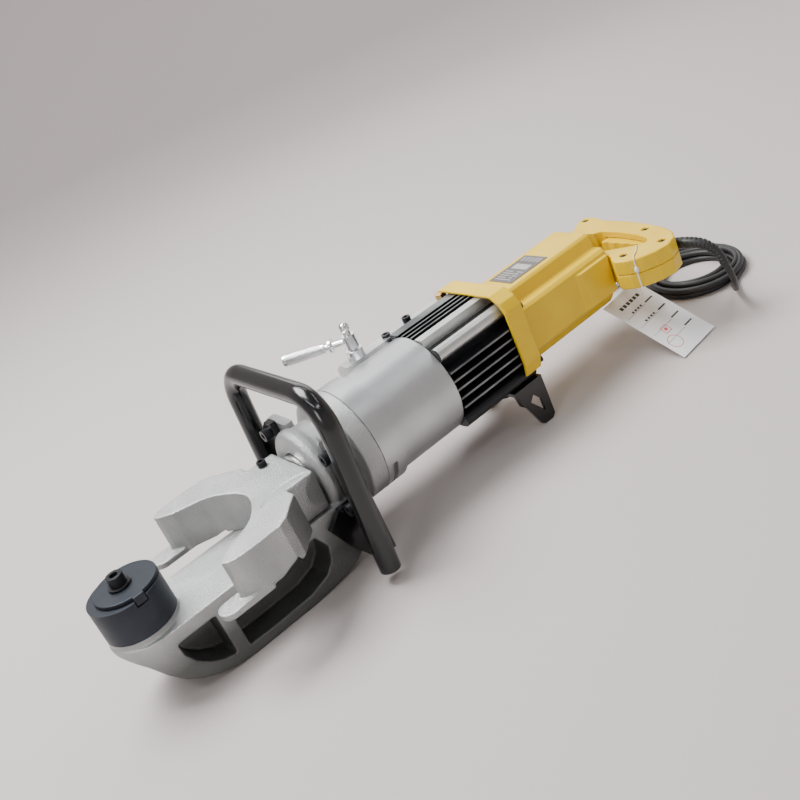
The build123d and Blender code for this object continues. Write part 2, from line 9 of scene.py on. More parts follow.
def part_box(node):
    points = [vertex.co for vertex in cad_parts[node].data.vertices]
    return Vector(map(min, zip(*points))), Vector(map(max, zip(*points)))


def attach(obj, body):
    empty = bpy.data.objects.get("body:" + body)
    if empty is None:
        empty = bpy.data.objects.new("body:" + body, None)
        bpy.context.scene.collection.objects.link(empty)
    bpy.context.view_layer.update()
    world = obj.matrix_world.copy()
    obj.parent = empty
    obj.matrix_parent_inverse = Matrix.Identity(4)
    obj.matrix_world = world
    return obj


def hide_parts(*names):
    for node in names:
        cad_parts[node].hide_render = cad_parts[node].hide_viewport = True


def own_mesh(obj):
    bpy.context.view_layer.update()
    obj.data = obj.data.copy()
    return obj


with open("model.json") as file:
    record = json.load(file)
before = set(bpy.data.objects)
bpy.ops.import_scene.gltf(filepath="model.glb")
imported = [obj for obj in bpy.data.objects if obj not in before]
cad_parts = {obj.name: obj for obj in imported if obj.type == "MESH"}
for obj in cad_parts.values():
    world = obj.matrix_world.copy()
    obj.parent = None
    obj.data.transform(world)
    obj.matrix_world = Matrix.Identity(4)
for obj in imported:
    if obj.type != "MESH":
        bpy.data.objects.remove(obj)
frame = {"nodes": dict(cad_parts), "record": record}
NODES = frame["nodes"]
BODY = {name: body for body, names in frame["record"]["behaviour"]["bodies"].items() for name in names}
SLOT = {part["node"]: part["material_slot"] for part in frame["record"]["subparts"]}


def write_size():
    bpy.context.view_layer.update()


write_size()

MM = 0.001
MM_PER_METRE = 1000

# The scene is laid out from the barrel's rear end on its axis, in millimetres.
low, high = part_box("cylinder_barrel")
ORIGIN = Vector((low.x, (low.y + high.y) / 2, (low.z + high.z) / 2))


def at(x, y, z):
    return ORIGIN + Vector((x, y, z)) * MM


# --- Materials ------------------------------------------------------------------------------------

IOR = 1.45
COAT_ROUGHNESS = 0.08


def shader(name, colour, rough, metal=0.0, coat=0.0):
    mat = bpy.data.materials.new(name)
    mat.use_nodes = True
    bsdf = mat.node_tree.nodes["Principled BSDF"]
    bsdf.inputs["Base Color"].default_value = (*colour, 1)
    bsdf.inputs["Roughness"].default_value = rough
    bsdf.inputs["Metallic"].default_value = metal
    bsdf.inputs["Coat Weight"].default_value = coat
    bsdf.inputs["Coat Roughness"].default_value = COAT_ROUGHNESS
    bsdf.inputs["IOR"].default_value = IOR
    return mat, mat.node_tree, bsdf


def noise(tree, scale, detail):
    coords = tree.nodes.new("ShaderNodeTexCoord")
    node = tree.nodes.new("ShaderNodeTexNoise")
    node.inputs["Scale"].default_value = scale
    node.inputs["Detail"].default_value = detail
    tree.links.new(coords.outputs["Object"], node.inputs["Vector"])
    return node.outputs["Fac"]


def bump(tree, bsdf, height, distance):
    """Grain from the height value; distance is how deep it goes, in metres."""
    node = tree.nodes.new("ShaderNodeBump")
    node.inputs["Strength"].default_value = 1.0
    node.inputs["Distance"].default_value = distance
    tree.links.new(height, node.inputs["Height"])
    tree.links.new(node.outputs["Normal"], bsdf.inputs["Normal"])


def spread(tree, value, from_in, to_in, from_out, to_out):
    """The value with from_in..to_in stretched to from_out..to_out, and held at both ends."""
    node = tree.nodes.new("ShaderNodeMapRange")
    node.inputs["From Min"].default_value = from_in
    node.inputs["From Max"].default_value = to_in
    node.inputs["To Min"].default_value = from_out
    node.inputs["To Max"].default_value = to_out
    tree.links.new(value, node.inputs["Value"])
    return node.outputs["Result"]


def mixed(tree, factor, one, two):
    node = tree.nodes.new("ShaderNodeMix")
    node.data_type = "RGBA"
    node.inputs["A"].default_value = (*one, 1)
    node.inputs["B"].default_value = (*two, 1)
    tree.links.new(factor, node.inputs["Factor"])
    return node.outputs["Result"]


PATCH_SCALE = 25.0    # the slow drift of colour: features of about 40 mm
PATCH_DETAIL = 6.0
GRAIN_DETAIL = 3.0


def worn(name, one, two, rough, metal=0.0, grain=0.0, grain_scale=900.0, coat=0.0):
    """A finish whose colour and roughness drift a little, with a fine grain in its surface."""
    mat, tree, bsdf = shader(name, one, rough, metal, coat)
    drift = noise(tree, PATCH_SCALE, PATCH_DETAIL)
    tree.links.new(mixed(tree, spread(tree, drift, 0.35, 0.65, 0, 1), one, two), bsdf.inputs["Base Color"])
    tree.links.new(spread(tree, drift, 0.3, 0.7, rough - 0.05, rough + 0.06), bsdf.inputs["Roughness"])
    if grain:
        bump(tree, bsdf, noise(tree, grain_scale, GRAIN_DETAIL), grain)
    return mat


# Painted shade and grime on the cast silver: it darkens towards this colour between these two heights.
UNDARKENED_ABOVE, DARKEST_BELOW = 0.070, 0.034    # heights above the ground, in metres
SHADE_AND_GRIME = (0.085, 0.09, 0.085)
MOST_SHADE_AND_GRIME = 0.9


def cast_silver():
    """Silver paint over a sand casting, darkened low down, where the arm's pockets are, by painted shade and
    grime.
    """
    mat = worn("sand_cast_silver", (0.46, 0.47, 0.47), (0.36, 0.37, 0.37), 0.36, 0.75, grain=0.0010,
               grain_scale=800.0)
    tree = mat.node_tree
    bsdf = tree.nodes["Principled BSDF"]
    paint = bsdf.inputs["Base Color"].links[0].from_socket
    coords = tree.nodes.new("ShaderNodeTexCoord")
    split = tree.nodes.new("ShaderNodeSeparateXYZ")
    tree.links.new(coords.outputs["Object"], split.inputs["Vector"])
    # Painted shade and grime: the paint's colour darkens towards the bottom, into the arm's pockets.
    shade_grime_mix = tree.nodes.new("ShaderNodeMix")
    shade_grime_mix.data_type = "RGBA"
    shade_grime_mix.inputs["B"].default_value = (*SHADE_AND_GRIME, 1)
    height = split.outputs["Z"]
    tree.links.new(spread(tree, height, UNDARKENED_ABOVE, DARKEST_BELOW, 0.0, MOST_SHADE_AND_GRIME), shade_grime_mix.inputs["Factor"])
    tree.links.new(paint, shade_grime_mix.inputs["A"])
    tree.links.new(shade_grime_mix.outputs["Result"], bsdf.inputs["Base Color"])
    return mat


# Each finish: its two colours, roughness, metal, then the height and scale of its grain.
MATERIALS = {
    "cast_paint": cast_silver(),
    "satin_silver": worn("satin_silver", (0.50, 0.51, 0.52), (0.44, 0.45, 0.46), 0.34, 0.8, 0.00012, 900.0),
    "ground_steel": worn("ground_steel", (0.55, 0.55, 0.54), (0.47, 0.47, 0.46), 0.25, 1.0),
    "dark_steel": worn("dark_screw_steel", (0.035, 0.037, 0.042), (0.02, 0.021, 0.024), 0.34, 0.7),
    "roller_black": worn("roller_black", (0.030, 0.036, 0.046), (0.020, 0.024, 0.032), 0.42, 0.55,
                         0.0001, 700.0),
    "gloss_black": worn("gloss_black", (0.006, 0.006, 0.007), (0.004, 0.004, 0.005), 0.2, 0.0, coat=0.3),
    "black_anodised": worn("black_anodised", (0.016, 0.018, 0.021), (0.009, 0.010, 0.012), 0.36, 0.4),
    "bare_aluminium": worn("bare_aluminium", (0.60, 0.61, 0.60), (0.50, 0.51, 0.50), 0.34, 0.85),
    "chrome": worn("chrome", (0.86, 0.87, 0.88), (0.78, 0.79, 0.80), 0.16, 1.0),
    "brass": worn("brass", (0.72, 0.52, 0.22), (0.60, 0.40, 0.15), 0.28, 1.0),
    "yellow_plastic": worn("yellow_plastic", (0.74, 0.49, 0.0), (0.68, 0.44, 0.0), 0.36, 0.0,
                           0.00004, 1500.0),
    "black_plastic": worn("black_plastic", (0.022, 0.022, 0.024), (0.016, 0.016, 0.018), 0.4, 0.0,
                          0.00004, 1500.0),
    "black_rubber": worn("black_rubber", (0.020, 0.020, 0.021), (0.014, 0.014, 0.015), 0.45, 0.0,
                         0.00003, 1200.0),
    "seal_rubber": worn("seal_rubber", (0.03, 0.03, 0.032), (0.02, 0.02, 0.022), 0.55),
    "copper_iron": worn("copper_iron", (0.45, 0.24, 0.13), (0.30, 0.18, 0.11), 0.35, 0.9),
    "white_card": worn("white_card", (0.82, 0.83, 0.85), (0.79, 0.80, 0.83), 0.5),
    "plate": worn("plate_metal", (0.13, 0.12, 0.115), (0.10, 0.095, 0.09), 0.42, 0.3),
}
INK = worn("printed_ink", (0.03, 0.03, 0.035), (0.05, 0.05, 0.055), 0.5)
PALE_INK = worn("pale_ink", (0.42, 0.41, 0.40), (0.36, 0.35, 0.34), 0.5)
RED_INK = worn("red_ink", (0.62, 0.06, 0.05), (0.70, 0.14, 0.12), 0.5)
WHITE_CORD = worn("tie_white", (0.80, 0.80, 0.79), (0.70, 0.70, 0.69), 0.6)

# --- Mesh helpers ---------------------------------------------------------------------------------

SHARP_CORNER = math.radians(35)
WELD = 2e-6
FLAT_WITHIN = math.radians(0.6)
KEPT_SHARP = math.radians(30)
ROUNDED_ABOVE = math.radians(32)


def link(name, mesh, *materials):
    obj = bpy.data.objects.new(name, mesh)
    bpy.context.scene.collection.objects.link(obj)
    for mat in materials:
        mesh.materials.append(mat)
    return obj


def solid(name, points, faces, *materials, smooth=True):
    """A mesh of its own, round faces smooth and corners sharp unless smooth is off."""
    mesh = bpy.data.meshes.new(name)
    mesh.from_pydata([tuple(p) for p in points], [], faces)
    if smooth:
        mesh.shade_smooth()
        mesh.set_sharp_from_angle(angle=SHARP_CORNER)
    return link(name, mesh, *materials)


def clean_copy(node, name):
    """A copy of a CAD node's mesh with its flat faces joined, ready for rounded edges."""
    bm = bmesh.new()
    bm.from_mesh(NODES[node].data)
    bmesh.ops.remove_doubles(bm, verts=bm.verts, dist=WELD)
    bmesh.ops.dissolve_limit(bm, angle_limit=FLAT_WITHIN, verts=bm.verts, edges=bm.edges)
    mesh = bpy.data.meshes.new(name)
    bm.to_mesh(mesh)
    bm.free()
    if "custom_normal" in mesh.attributes:
        mesh.attributes.remove(mesh.attributes["custom_normal"])
    mesh.materials.clear()
    return mesh


def settle(obj, node):
    """The object takes the CAD node's place on the node's body."""
    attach(obj, BODY[node])
    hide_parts(node)


def dress(node, width, extra=(), pick=None):
    """The CAD node with its sharp edges rounded over by width mm; pick chooses each face's finish."""
    obj = link(node + "_finished", clean_copy(node, node + "_mesh"), MATERIALS[SLOT[node]], *extra)
    if pick:
        for face in obj.data.polygons:
            face.material_index = pick(face)
    obj.data.shade_smooth()
    obj.data.set_sharp_from_angle(angle=KEPT_SHARP)
    edge = obj.modifiers.new("rounded_edges", "BEVEL")
    edge.width, edge.segments, edge.limit_method = width * MM, 2, "ANGLE"
    edge.angle_limit, edge.harden_normals = ROUNDED_ABOVE, True
    settle(obj, node)


def soften(node, voxel, rounds, keep_ratio):
    """The CAD node with the full, soft corners of a casting or a moulding; voxel is in mm."""
    obj = link(node + "_finished", clean_copy(node, node + "_mesh"), MATERIALS[SLOT[node]])
    grid = obj.modifiers.new("grid", "REMESH")
    grid.mode, grid.voxel_size, grid.adaptivity = "VOXEL", voxel * MM, 0.0
    ease = obj.modifiers.new("ease", "SMOOTH")
    ease.factor, ease.iterations = 0.5, rounds
    thin = obj.modifiers.new("thin", "DECIMATE")
    thin.ratio = keep_ratio
    bpy.context.view_layer.update()
    made = bpy.data.meshes.new_from_object(obj.evaluated_get(bpy.context.evaluated_depsgraph_get()))
    made.shade_smooth()
    obj.modifiers.clear()
    obj.data = made
    settle(obj, node)


def frames(points):
    """A direction and two crosswise axes at every point of a path."""
    out, last = [], None
    for i, p in enumerate(points):
        ahead = (points[min(i + 1, len(points) - 1)] - points[max(i - 1, 0)]).normalized()
        if last is None:
            last = ahead.orthogonal().normalized()
        last = (last - ahead * last.dot(ahead)).normalized()
        out.append((ahead, last, ahead.cross(last)))
    return out


def swept(name, path, radius_at, sides, *materials, crinkle=None):
    """A closed tube along path; radius_at(i) gives its radius, crinkle(i, turn) changes it round the tube."""
    points, faces = [], []
    for i, (p, (ahead, one, two)) in enumerate(zip(path, frames(path))):
        for k in range(sides):
            turn = 2 * math.pi * k / sides
            r = radius_at(i) + (crinkle(i, turn) if crinkle else 0.0)
            points.append(p + (one * math.cos(turn) + two * math.sin(turn)) * r)
    for i in range(len(path) - 1):
        for k in range(sides):
            a, b = i * sides + k, i * sides + (k + 1) % sides
            faces.append((a, b, b + sides, a + sides))
    faces.append(tuple(reversed(range(sides))))
    faces.append(tuple((len(path) - 1) * sides + k for k in range(sides)))
    return solid(name, points, faces, *materials)


def smooth_path(points, steps):
    """A Catmull-Rom line through the points."""
    out = []
    ends = [points[0] * 2 - points[1], *points, points[-1] * 2 - points[-2]]
    for a, b, c, d in zip(ends, ends[1:], ends[2:], ends[3:]):
        for s in range(steps):
            t = s / steps
            out.append(0.5 * (2 * b + (c - a) * t + (2 * a - 5 * b + 4 * c - d) * t ** 2
                              + (3 * b - a - 3 * c + d) * t ** 3))
    return out + [points[-1]]


# --- Materials on every CAD node, then the pieces that are refined --------------------------------

for name, node in NODES.items():
    node.data.materials.clear()
    node.data.materials.append(MATERIALS[SLOT[name]])

for node, voxel, rounds, keep_ratio in (("head_casting", 1.0, 9, 0.45), ("bending_fork", 0.9, 16, 0.45),
                                        ("handle_shell_top", 0.8, 12, 0.4),
                                        ("handle_shell_bottom", 0.8, 12, 0.4),
                                        ("motor_housing", 0.8, 5, 0.4), ("motor_collar", 0.8, 14, 0.5)):
    soften(node, voxel, rounds, keep_ratio)

# Places on the pump body, in millimetres from the axis.
RIB_Y, RIB_HALF, RIB_FOOT = 19.5, 6.5, 42.5
BOSS_Y, BOSS_Z, BOSS_REACH_SQUARED = 41, 39, 62
BOSS_INNER_Y, BOSS_FOOT = 33, 31.5
FIN_TIP = 53.6
FACING = 0.9
PAINTED, BARE, EDGE_BRIGHT = range(3)


def fin_finish(face):
    """The ribs' outer edges are machined bright; the wide rib and the corner boss are bare all over."""
    p, n = (face.center - ORIGIN) * MM_PER_METRE, face.normal
    if p.z > RIB_FOOT and abs(p.y - RIB_Y) < RIB_HALF:
        return BARE
    from_boss = (p.y - BOSS_Y) ** 2 + (p.z - BOSS_Z) ** 2
    if p.y > BOSS_INNER_Y and p.z > BOSS_FOOT and from_boss < BOSS_REACH_SQUARED:
        return BARE
    if abs(p.y) > FIN_TIP and abs(n.y) > FACING or p.z > FIN_TIP and n.z > FACING:
        return EDGE_BRIGHT
    return PAINTED


FIN_EDGE = worn("fin_edge", (0.20, 0.21, 0.21), (0.07, 0.075, 0.08), 0.35, 0.7)
dress("pump_body", 0.25, (MATERIALS["bare_aluminium"], FIN_EDGE), fin_finish)

# How far each node's edges are rounded, in millimetres.
EDGES = (("cylinder_barrel", 0.8), ("lock_ring", 1.0), ("manifold_block", 1.2), ("valve_gland", 0.5),
         ("brass_plug", 0.4), ("valve_spindle", 0.4), ("lever_arm", 0.3), ("fork_screw", 0.3),
         ("manifold_screws", 0.3), ("bending_roller", 1.2), ("lock_disc", 0.9), ("roller_washer", 0.3),
         ("roller_bolt", 0.4), ("gusset_near", 0.8), ("gusset_far", 0.8), ("gusset_bolts", 0.3),
         ("rear_foot", 0.6), ("foot_bolts", 0.3), ("collar_bolts", 0.3), ("trigger", 0.8),
         ("handle_screws", 0.2), ("nameplate", 0.15))
for node, width in EDGES:
    dress(node, width)


def return_spring():
    """The spring inside the ram, a copy of the CAD coils with a mesh of its own on the node's body."""
    spring = link("return_spring_coils", NODES["return_spring"].data.copy())
    settle(spring, "return_spring")
    low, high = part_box("return_spring")
    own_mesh(spring)


return_spring()

# --- The release lever's knurled grip -------------------------------------------------------------

KNURL_RINGS = 80         # rings of the mesh along the knurled length
KNURL_DEPTH = 0.00042
KNURL_STARTS = 13        # grooves counted round the grip, each way
KNURL_TWIST = 0.62       # turn of a groove from one ring to the next, in radians


def knurled_grip():
    """The tapered grip, with a diamond pattern pressed into its skin."""
    stem = at(36, -45, 68)
    turn = math.radians(-44)
    along = Vector((math.cos(turn), math.sin(turn), 0))
    front = [(27.2, 4.2), (27.5, 5.2), (29.0, 5.4), (30.2, 5.5)]
    steps = KNURL_RINGS - 1
    knurled = [(31.0 + 40 * i / steps, 5.45 + 1.25 * i / steps) for i in range(KNURL_RINGS)]
    end = [(71.6, 6.6), (72.4, 6.75), (74.0, 6.6), (74.9, 5.6)]
    profile = front + knurled + end
    path = [stem + along * (s * MM) for s, r in profile]
    radii = [r * MM for s, r in profile]

    def diamonds(i, angle):
        if not len(front) <= i < len(front) + KNURL_RINGS:
            return 0.0
        rise, run = KNURL_STARTS * angle, (i - len(front)) * KNURL_TWIST
        return -KNURL_DEPTH * max(abs(math.sin(rise / 2 + run)), abs(math.sin(rise / 2 - run))) ** 6

    grip = swept("knurled_grip", path, lambda i: radii[i], 104, MATERIALS["chrome"], crinkle=diamonds)
    settle(grip, "lever_grip")


knurled_grip()

# --- Cord: ribbed guard, lead in loops on the floor, and the plug ---------------------------------

GUARD = [at(-300, 78, 0), at(-305, 98, 0), at(-311, 113, -4), at(-316, 123, -15), at(-318, 128, -30)]
GUARD_STEPS = 26         # rings of the mesh between two points of the guard's line
GUARD_RADIUS = 0.00635
GUARD_TAPER = 0.0019
GROOVE = 0.0007


def cord_guard():
    """A sleeve that narrows towards the cord, with rings pressed round it."""
    path = smooth_path(GUARD, GUARD_STEPS)
    last = len(path) - 1

    def radius(i):
        return GUARD_RADIUS - GUARD_TAPER * (i / last) ** 1.5

    def rings(i, angle):
        """Two mesh rings in seven are pressed in, but not at the guard's ends or its two seams."""
        if not 12 < i < last - 5:
            return 0.0
        return -GROOVE if i % 7 in (0, 1) and abs(math.sin(angle)) > 0.25 else 0.0

    sleeve = swept("cord_guard_sleeve", path, radius, 40, MATERIALS["black_rubber"], crinkle=rings)
    settle(sleeve, "cord_guard")
    return sleeve


# The lead's own line, in millimetres. Its loops lie on the floor round COIL_X, COIL_Y.
DROP = [(-318, 128, -30), (-320.5, 130.5, -42), (-327, 126, -57), (-338.5, 115.5, -71), (-353, 101, -84),
        (-370, 85, -91.8), (-387, 71, -94.3)]
STEPS = 16               # points in one lap
LAPS = 5.33
FIRST_TURN = math.radians(100)
FLOOR_Z = -98
COIL_X, COIL_Y = -393, 8
WIDE_X, WIDE_Y = 0.97, 1.06
LEAST_OUT, OUT_AT_START, OUT_AT_END = 37, 21.5, 22
INWARD_LAPS = 2.5
OUTWARD_FROM, OUTWARD_LAPS = 2.75, 2.58
CLIMB_FROM, CLIMB_LAPS = 2.3, 0.6
LOWER_RISE, LAYER = 3.6, 7.3
SLIP, SLIPS_PER_LAP = 2.2, 0.43
BULGE, BULGE_TURN = 6, math.radians(50)


def cord_route():
    """Down from the handle, round inwards on the floor, outwards again on top of that, then to the plug."""
    points = [at(*p) for p in DROP]
    for i in range(1, round(LAPS * STEPS) + 1):
        lap = i / STEPS
        turn = FIRST_TURN + 2 * math.pi * lap
        inward = max(0.0, 1 - lap / INWARD_LAPS)
        outward = max(0.0, (lap - OUTWARD_FROM) / OUTWARD_LAPS)
        out = LEAST_OUT + OUT_AT_START * inward + OUT_AT_END * outward
        climb = min(1.0, max(0.0, (lap - CLIMB_FROM) / CLIMB_LAPS))
        rise = LOWER_RISE + LAYER * climb * climb * (3 - 2 * climb)
        slip = math.sin(2 * math.pi * lap * SLIPS_PER_LAP) * SLIP
        if lap < 1.2 or lap > 4.4:
            out += BULGE * max(0.0, math.cos(turn - BULGE_TURN)) ** 2
        points.append(at(COIL_X + slip + out * WIDE_X * math.cos(turn),
                         COIL_Y - 0.6 * slip + out * WIDE_Y * math.sin(turn), FLOOR_Z + rise))
    return points


def nurbs(name, points, radius, mat):
    """A round cord along a smooth curve steered by the points."""
    curve = bpy.data.curves.new(name, "CURVE")
    curve.dimensions = "3D"
    curve.bevel_depth = radius
    curve.bevel_resolution = 5
    curve.resolution_u = 6
    curve.use_fill_caps = True
    line = curve.splines.new("NURBS")
    line.points.add(len(points) - 1)
    for spot, p in zip(line.points, points):
        spot.co = (*p, 1)
    line.order_u = 3
    line.use_endpoint_u = True
    obj = bpy.data.objects.new(name, curve)
    bpy.context.scene.collection.objects.link(obj)
    curve.materials.append(mat)
    return obj


# The plug, from the cord's end forwards: place along it, half width and half height, in millimetres.
PLUG_RINGS = [(0, 4.2, 4.2), (1.0, 4.9, 4.9), (15, 5.0, 5.0), (17.2, 6.5, 6.0), (18, 10.5, 8.5),
              (20.5, 12.4, 10.3), (34, 12.9, 10.8), (38, 11.2, 10.2), (44, 11.4, 10.4), (49.5, 12.4, 10.6),
              (50.8, 11.6, 9.8), (51, 8.0, 6.0)]
TAIL_END = 17.2          # the round tail ends here and the squarish body begins
TAIL_RISE, BODY_RISE = 0.0055, 0.011
SQUARISH = 0.55
PIN_Y = 0.007
PIN_FOOT = 50.5
PIN_LINE = (0, 9, 16.5, 18, 18.5)
PIN_RADII = (0.0024, 0.0024, 0.0024, 0.0016, 0.0006)


def power_plug():
    """A moulded two-pin plug with a plain round tail, in the CAD plug's place."""
    low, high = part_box("power_plug")
    middle_y, floor = (low.y + high.y) / 2, low.z
    points, faces, sides = [], [], 48
    for s, wide, tall in PLUG_RINGS:
        rise, power = (TAIL_RISE, 1.0) if s <= TAIL_END else (BODY_RISE, SQUARISH)
        for k in range(sides):
            t = 2 * math.pi * k / sides
            c, n = math.cos(t), math.sin(t)
            y = math.copysign(abs(c) ** power, c) * wide * MM
            z = math.copysign(abs(n) ** power, n) * tall * MM
            points.append(Vector((low.x + s * MM, middle_y + y, floor + rise + z)))
    last = len(PLUG_RINGS) - 1
    for i in range(last):
        for k in range(sides):
            a, b = i * sides + k, i * sides + (k + 1) % sides
            faces.append((a, a + sides, b + sides, b))
    faces.append(tuple(range(sides)))
    faces.append(tuple(last * sides + k for k in reversed(range(sides))))
    body = solid("plug_body", points, faces, MATERIALS["black_rubber"])
    settle(body, "power_plug")
    pins = []
    for side in (-PIN_Y, PIN_Y):
        line = [Vector((low.x + (PIN_FOOT + s) * MM, middle_y + side, floor + BODY_RISE)) for s in PIN_LINE]
        pin = swept("plug_pin", line, lambda i: PIN_RADII[i], 24, MATERIALS["chrome"])
        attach(pin, "root")
        pins.append(pin)
    return [body, *pins]


INTO_PLUG = ((-28, 22, 5), (-21, 12, 3), (-13, 4, 1), (-5, 0.5, 0), (3, 0, 0))
LEAD_RADIUS = 0.0035


def lead():
    """The whole lead as one curve, from inside the guard's end to inside the plug's tail."""
    points = cord_route()
    low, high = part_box("power_plug")
    tail = Vector((low.x, (low.y + high.y) / 2, low.z + TAIL_RISE))
    points += [tail + Vector(p) * MM for p in INTO_PLUG]
    lead_obj = nurbs("power_lead", points, LEAD_RADIUS, MATERIALS["black_rubber"])
    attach(lead_obj, "root")
    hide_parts("power_cord", "cord_coil")
    return lead_obj, points


SLEEVE = cord_guard()
PLUG_PIECES = power_plug()
LEAD, LEAD_POINTS = lead()


def curve_length(obj):
    """The length of a curve's line, measured on a copy without thickness."""
    bare = obj.data.copy()
    bare.bevel_depth = 0
    ghost = bpy.data.objects.new("measure", bare)
    bpy.context.scene.collection.objects.link(ghost)
    bpy.context.view_layer.update()
    mesh = bpy.data.meshes.new_from_object(ghost.evaluated_get(bpy.context.evaluated_depsgraph_get()))
    spots = [v.co for v in mesh.vertices]
    total = sum((spots[e.vertices[0]] - spots[e.vertices[1]]).length for e in mesh.edges)
    bpy.data.objects.remove(ghost)
    return total


LEAD_LENGTH = curve_length(LEAD)
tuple(LEAD_POINTS[0])

# --- Hang tag, tie and nameplate ------------------------------------------------------------------

TAG_CORNER = at(-252, 30, -40)
TAG_ALONG = Vector((-11, 88, -57)).normalized()
TAG_ACROSS = Vector((1, 0.12, 0))
TAG_ACROSS = (TAG_ACROSS - TAG_ALONG * TAG_ACROSS.dot(TAG_ALONG)).normalized()
TAG_FACE = TAG_ACROSS.cross(TAG_ALONG).normalized()
if TAG_FACE.z < 0:
    TAG_FACE.negate()
TAG_WIDE, TAG_LONG, TAG_HALF_THICK = 62, 104, 0.22


def on_tag(u, v, lift):
    """A point on the tag: u across from the middle, v down from the top, in millimetres."""
    return TAG_CORNER + (TAG_ACROSS * u + TAG_ALONG * v + TAG_FACE * lift) * MM


def tag():
    """The flat card, in a grid of squares on both sides."""
    cols, rows = 16, 26
    points, faces = [], []
    for layer in (TAG_HALF_THICK, -TAG_HALF_THICK):
        for r in range(rows + 1):
            for c in range(cols + 1):
                points.append(on_tag(-TAG_WIDE / 2 + TAG_WIDE * c / cols, TAG_LONG * r / rows, layer))
    count = (cols + 1) * (rows + 1)
    for r in range(rows):
        for c in range(cols):
            a = r * (cols + 1) + c
            faces.append((a, a + 1, a + cols + 2, a + cols + 1))
            faces.append((a + count, a + count + cols + 1, a + count + cols + 2, a + count + 1))
    rim = list(range(cols + 1)) + [(r + 1) * (cols + 1) + cols for r in range(rows)]
    rim += [rows * (cols + 1) + c for c in reversed(range(cols))]
    rim += [r * (cols + 1) for r in reversed(range(1, rows))]
    for a, b in zip(rim, rim[1:] + rim[:1]):
        faces.append((a, a + count, b + count, b))
    mesh = bpy.data.meshes.new("hang_tag_card")
    mesh.from_pydata([tuple(p) for p in points], [], faces)
    obj = link("hang_tag_card", mesh, MATERIALS["white_card"])
    bm = bmesh.new()
    bm.from_mesh(mesh)
    bmesh.ops.recalc_face_normals(bm, faces=bm.faces)
    bm.to_mesh(mesh)
    bm.free()
    settle(obj, "hang_tag")


INK_THICK = 0.06


def patches(name, place, mat, boxes, thick=INK_THICK):
    """Flat blocks of print: each box is u0, u1, v0, v1 in millimetres, and place puts it on its surface."""
    points, faces = [], []
    for u0, u1, v0, v1 in boxes:
        base = len(points)
        corners = [(u0, v0), (u1, v0), (u1, v1), (u0, v1)]
        points += [place(u, v, lift) for lift in (0.0, thick) for u, v in corners]
        walls = [(k, (k + 1) % 4, 4 + (k + 1) % 4, 4 + k) for k in range(4)]
        faces += [tuple(base + k for k in f) for f in [(3, 2, 1, 0), (4, 5, 6, 7)] + walls]
    obj = solid(name, points, faces, mat, smooth=False)
    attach(obj, "root")


def tag_print():
    """Generic rules and blocks where the card is printed, with a round and a square stamp in red."""
    def place(u, v, lift):
        return on_tag(u, v, 0.2 + lift)

    heading = [(-16 + 6.2 * k, -11.6 + 6.2 * k, 13, 17.5) for k in range(6)]
    rows = [(-24, -10, 27 + 17 * k, 29 + 17 * k) for k in range(4)]
    rules = [(-8, 26, 29.4 + 17 * k, 29.8 + 17 * k) for k in range(4)]
    words = [(-4 + 5 * k, -0.8 + 5 * k, 26 + 17 * r, 28.6 + 17 * r) for r in range(2) for k in range(4)]
    patches("tag_lines", place, INK, heading + rows + rules + words)
    square = [(4, 14, 62, 62.8), (4, 14, 71.2, 72), (4, 4.8, 62, 72), (13.2, 14, 62, 72), (7, 11, 65, 69)]
    patches("tag_square_stamp", place, RED_INK, square)
    points, faces, sides = [], [], 40
    stamp_u, stamp_v = 17, 84
    for lift in (0.0, INK_THICK):
        for r in (9.0, 8.2):
            for k in range(sides):
                t = 2 * math.pi * k / sides
                points.append(place(stamp_u + r * math.cos(t), stamp_v + r * math.sin(t), lift))
    for k in range(sides):
        n = (k + 1) % sides
        for a, b in ((0, 1), (1, 3), (3, 2), (2, 0)):
            faces.append((a * sides + k, b * sides + k, b * sides + n, a * sides + n))
    ring = solid("tag_round_stamp", points, faces, RED_INK, smooth=False)
    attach(ring, "root")


def string(name, path, radius_at, sides):
    """A piece of the white tie, on the fixed body."""
    piece = swept(name, path, radius_at, sides, WHITE_CORD)
    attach(piece, "root")
    return piece


# The string's line round the handle, in millimetres.
TIE_LOOP = [(-252, 77, 18.0), (-244, 81, 18.0), (-238, 85.6, 17.4), (-236.2, 86.8, 13), (-236.2, 86.8, 0),
            (-236.2, 86.8, -13), (-238, 85.6, -17.4), (-246, 79.5, -18.0), (-262, 69, -18.0),
            (-267.4, 65.8, -13), (-267.6, 65.6, 0), (-267.4, 65.8, 13), (-262, 69, 18.0), (-253, 76.4, 18.2)]


def tie():
    """A thin white string round the near side of the handle loop, knotted, then down to the tag's hole."""
    loop = string("tie_loop", smooth_path([at(*p) for p in TIE_LOOP], 10), lambda i: 0.0006, 12)
    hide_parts("tag_tie")
    hole = on_tag(-20, 6, 0.2)
    start = at(-236.2, 87.2, -12)
    drop = [start, at(-235.5, 86, -24), start.lerp(hole, 0.6) + Vector((0.001, 0.006, -0.004)), hole,
            on_tag(-20, 4.5, -0.6)]
    string("tie_drop", smooth_path(drop, 10), lambda i: 0.0005, 12)
    lump = at(-236.0, 87.2, 5.0)
    path = [lump + Vector((0, 0, 0.0014 * i - 0.0042)) for i in range(7)]
    sizes = (0.0006, 0.0016, 0.0021, 0.0022, 0.0021, 0.0016, 0.0006)
    string("tie_knot", path, lambda i: sizes[i], 16)


